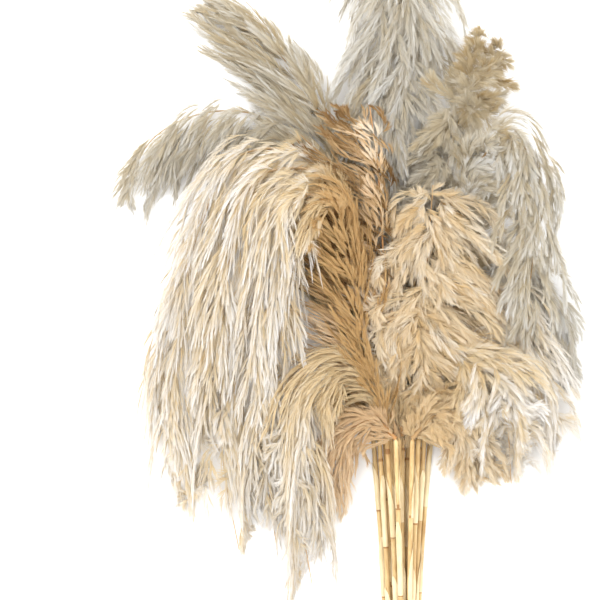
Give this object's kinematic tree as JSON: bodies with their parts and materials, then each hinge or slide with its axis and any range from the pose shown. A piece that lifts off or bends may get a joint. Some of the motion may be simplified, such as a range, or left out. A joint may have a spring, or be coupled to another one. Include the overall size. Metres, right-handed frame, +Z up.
{
  "type": "bundle of pampas grass",
  "caption": "Loose bundle of cut, dried pampas grass lying down: bare reed stalks side by side, then long feathery cream plumes that fan out and droop.",
  "frame": {"origin": "on the surface that the bundle lies on, under the middle of the whole bundle's box", "axes": "+Y along the stalks from the cut ends to the plumes, +Z up from the surface, +X to the right seen from above with the plumes at the top"},
  "size_m": [0.6789, 1.1963, 0.1707],
  "materials": {
    "stalk": "dry straw-coloured reed, satin, with darker nodes and fine lengthwise fibres",
    "plume": "soft silky dried flower hair, matt with a light sheen, golden tan at the roots to cream white at the tips"
  },
  "bodies": {
    "root": {"stalk_left": "stalk", "plume_left": "plume", "stalk_upper_left": "stalk", "plume_upper_left": "plume", "stalk_top": "stalk", "plume_top": "plume", "stalk_upper_right": "stalk", "plume_upper_right": "plume", "stalk_right_upper": "stalk", "plume_right_upper": "plume", "stalk_right_far": "stalk", "plume_right_far": "plume", "stalk_left_outer": "stalk", "plume_left_outer": "plume", "stalk_left_middle": "stalk", "plume_left_middle": "plume", "stalk_centre": "stalk", "plume_centre": "plume", "stalk_front": "stalk", "plume_front": "plume", "stalk_right": "stalk", "plume_right": "plume", "stalk_left_inner": "stalk", "plume_left_inner": "plume", "stalk_left_low": "stalk", "plume_left_low": "plume", "stalk_right_low": "stalk", "plume_right_low": "plume", "stalk_left_short": "stalk", "plume_left_short": "plume", "stalk_right_short": "stalk", "plume_right_short": "plume"}
  },
  "joints": []
}
